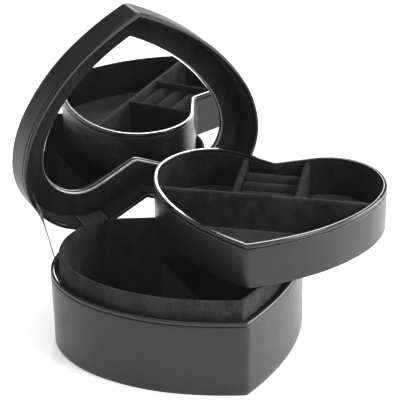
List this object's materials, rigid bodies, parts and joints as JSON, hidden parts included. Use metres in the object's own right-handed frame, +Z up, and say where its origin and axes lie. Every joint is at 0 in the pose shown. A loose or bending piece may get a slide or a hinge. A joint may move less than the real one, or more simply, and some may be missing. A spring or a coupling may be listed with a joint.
{
  "type": "jewelry gift box",
  "caption": "Heart-shaped jewellery box with a mirrored hinged lid, velvet collar, divided base and a lift-out ring tray lying askew on top.",
  "frame": {"origin": "centre of the flat underside of the base, midway across the lobes and midway from tip to lobes", "axes": "+Z up; +X to the right seen from the tip; +Y from the tip of the heart towards the lobes and the lid hinge"},
  "size_m": [0.2253, 0.178, 0.213],
  "materials": {
    "leatherette": "satin grained black leatherette",
    "velvet": "black flocked velvet",
    "mirror": "silvered mirror glass",
    "board": "pressed fibre board",
    "card": "grey board",
    "felt": "black felt",
    "ribbon": "black satin ribbon",
    "cloth": "black woven hinge cloth"
  },
  "bodies": {
    "base": {"base_foot_felt": "felt", "base_floor_board": "board", "base_wall": "board", "base_wrap": "leatherette", "base_rim_bead": "leatherette", "collar_spacer": "card", "collar_board": "board", "collar_velvet": "velvet", "base_divider_long": "velvet", "base_divider_cross": "velvet", "base_pad_front_left": "velvet", "base_pad_back_left": "velvet", "base_pad_front_right": "velvet", "base_pad_back_right": "velvet", "hinge_strap_left_base_half": "cloth", "hinge_strap_right_base_half": "cloth", "stay_ribbon": "ribbon"},
    "tray": {"tray_under_cover": "felt", "tray_floor_board": "board", "tray_wall": "board", "tray_wrap": "leatherette", "tray_rim_bead": "leatherette", "tray_lining": "velvet", "tray_divider_long": "velvet", "tray_divider_left": "velvet", "tray_divider_right": "velvet", "tray_pad_left": "velvet", "tray_pad_right": "velvet", "tray_pad_front": "velvet", "ring_roll_1": "velvet", "ring_roll_2": "velvet", "ring_roll_3": "velvet"},
    "lid": {"lid_wall": "board", "lid_wrap": "leatherette", "lid_rim_bead": "leatherette", "lid_lining": "velvet", "mirror_panel": "velvet", "mirror_pane": "mirror", "mirror_backing_card": "card", "lid_top_board": "board", "hinge_strap_left_lid_half": "cloth", "hinge_strap_right_lid_half": "cloth", "stay_ribbon_lid_tab": "ribbon"}
  },
  "joints": [
    {"name": "lid_hinge", "type": "hinge", "parent": "base", "child": "lid", "pos_m": [0, 0.0772, 0.0596], "axis": [1, 0, 0], "range_deg": [0, 22], "deforming": ["stay_ribbon"]},
    {"name": "tray_lift", "type": "slide", "parent": "base", "child": "tray", "axis": [0, -0.5, 0.866], "range_m": [0, 0.06]}
  ]
}
